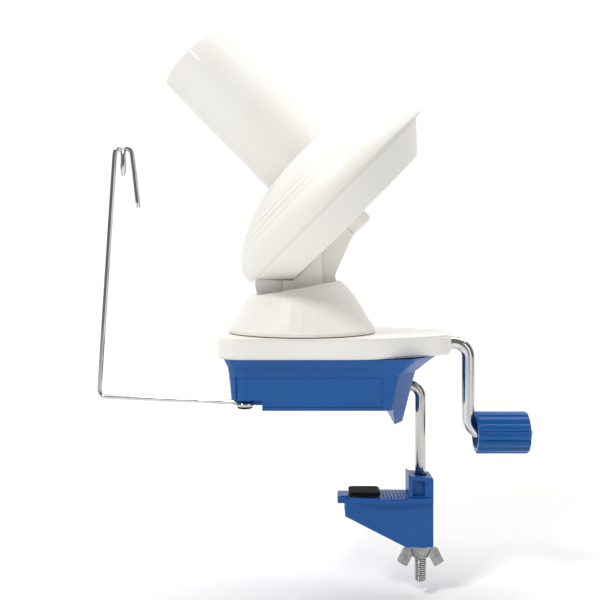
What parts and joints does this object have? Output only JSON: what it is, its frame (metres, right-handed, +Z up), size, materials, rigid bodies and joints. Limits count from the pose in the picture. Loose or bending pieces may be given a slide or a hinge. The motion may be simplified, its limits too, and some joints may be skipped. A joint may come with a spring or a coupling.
{
  "type": "ball winder",
  "caption": "Hand-cranked yarn ball winder: table clamp, geared base, tilted disc and spindle tube on a turret, wire yarn guide.",
  "frame": {"origin": "on the turret's vertical axis, in the plane of the base's underside (the table top)", "axes": "+Z up along the turret's axis, +X to the crank and the clamp, -Y to the side the clamp's channel wall faces"},
  "size_m": [0.217, 0.12, 0.2745],
  "materials": {
    "blue_plastic": "moulded, satin",
    "blue_grip": "moulded, satin, fluted",
    "white_plastic": "moulded, warm white, soft sheen",
    "gear_nylon": "moulded nylon",
    "plain_steel": "turned steel",
    "chromed_rod": "polished chrome plate",
    "guide_wire": "polished chrome plate",
    "clamp_steel": "bright drawn steel, rolled thread",
    "zinc": "zinc plated, cast",
    "dark_screw": "blackened screw",
    "black_rubber": "matt rubber"
  },
  "bodies": {
    "base": {"base_tub": "blue_plastic", "top_cover": "white_plastic", "main_post": "plain_steel", "thrust_washer": "plain_steel", "sun_gear": "gear_nylon", "post_cap": "plain_steel", "clamp_rod": "clamp_steel", "rod_screw": "plain_steel", "cover_screw_1": "plain_steel", "cover_screw_2": "plain_steel", "cover_screw_3": "plain_steel", "cover_screw_4": "plain_steel", "guide_pivot_screw": "dark_screw"},
    "crank": {"crank_rod": "chromed_rod", "crown_gear": "gear_nylon", "crank_collar": "plain_steel", "grip_rivet": "plain_steel"},
    "grip": {"grip": "blue_grip"},
    "turret": {"turret_base": "white_plastic", "hub_pinion": "gear_nylon", "gear_cup": "white_plastic", "tilt_axle": "plain_steel", "axle_clip": "plain_steel", "spindle_washer": "plain_steel"},
    "spindle": {"spindle_disc": "white_plastic", "ring_gear": "gear_nylon", "spindle_tube": "white_plastic"},
    "jaw": {"clamp_jaw": "blue_plastic", "clamp_pad": "black_rubber", "nut_washer": "zinc"},
    "nut": {"wing_nut": "zinc"},
    "guide": {"yarn_guide": "guide_wire"}
  },
  "joints": [
    {"name": "crank_turn", "type": "hinge", "parent": "base", "child": "crank", "pos_m": [0, 0, 0.02875], "axis": [1, 0, 0], "continuous": true},
    {"name": "turret_turn", "type": "hinge", "parent": "base", "child": "turret", "pos_m": [0, 0, 0], "axis": [0, 0, 1], "continuous": true},
    {"name": "spindle_turn", "type": "hinge", "parent": "turret", "child": "spindle", "pos_m": [0, 0, 0.117], "axis": [-0.7071, 0, 0.7071], "continuous": true},
    {"name": "grip_spin", "type": "hinge", "parent": "crank", "child": "grip", "pos_m": [0.1, 0, -0.0162], "axis": [1, 0, 0], "continuous": true},
    {"name": "jaw_slide", "type": "slide", "parent": "base", "child": "jaw", "axis": [0, 0, 1], "range_m": [-0.004, 0.022]},
    {"name": "wing_nut_turn", "type": "hinge", "parent": "jaw", "child": "nut", "pos_m": [0.0592, 0, -0.076], "axis": [0, 0, 1], "range_deg": [-1500, 8000]},
    {"name": "guide_swing", "type": "hinge", "parent": "base", "child": "guide", "pos_m": [-0.027, -0.025, 0], "axis": [0, 0, 1], "range_deg": [-12, 75]}
  ],
  "couplings": [
    {"joint": "turret_turn", "follows": "crank_turn", "ratio": -4},
    {"joint": "spindle_turn", "follows": "crank_turn", "ratio": -1.3333},
    {"joint": "wing_nut_turn", "follows": "jaw_slide", "rad_per_m": 6283.2}
  ]
}
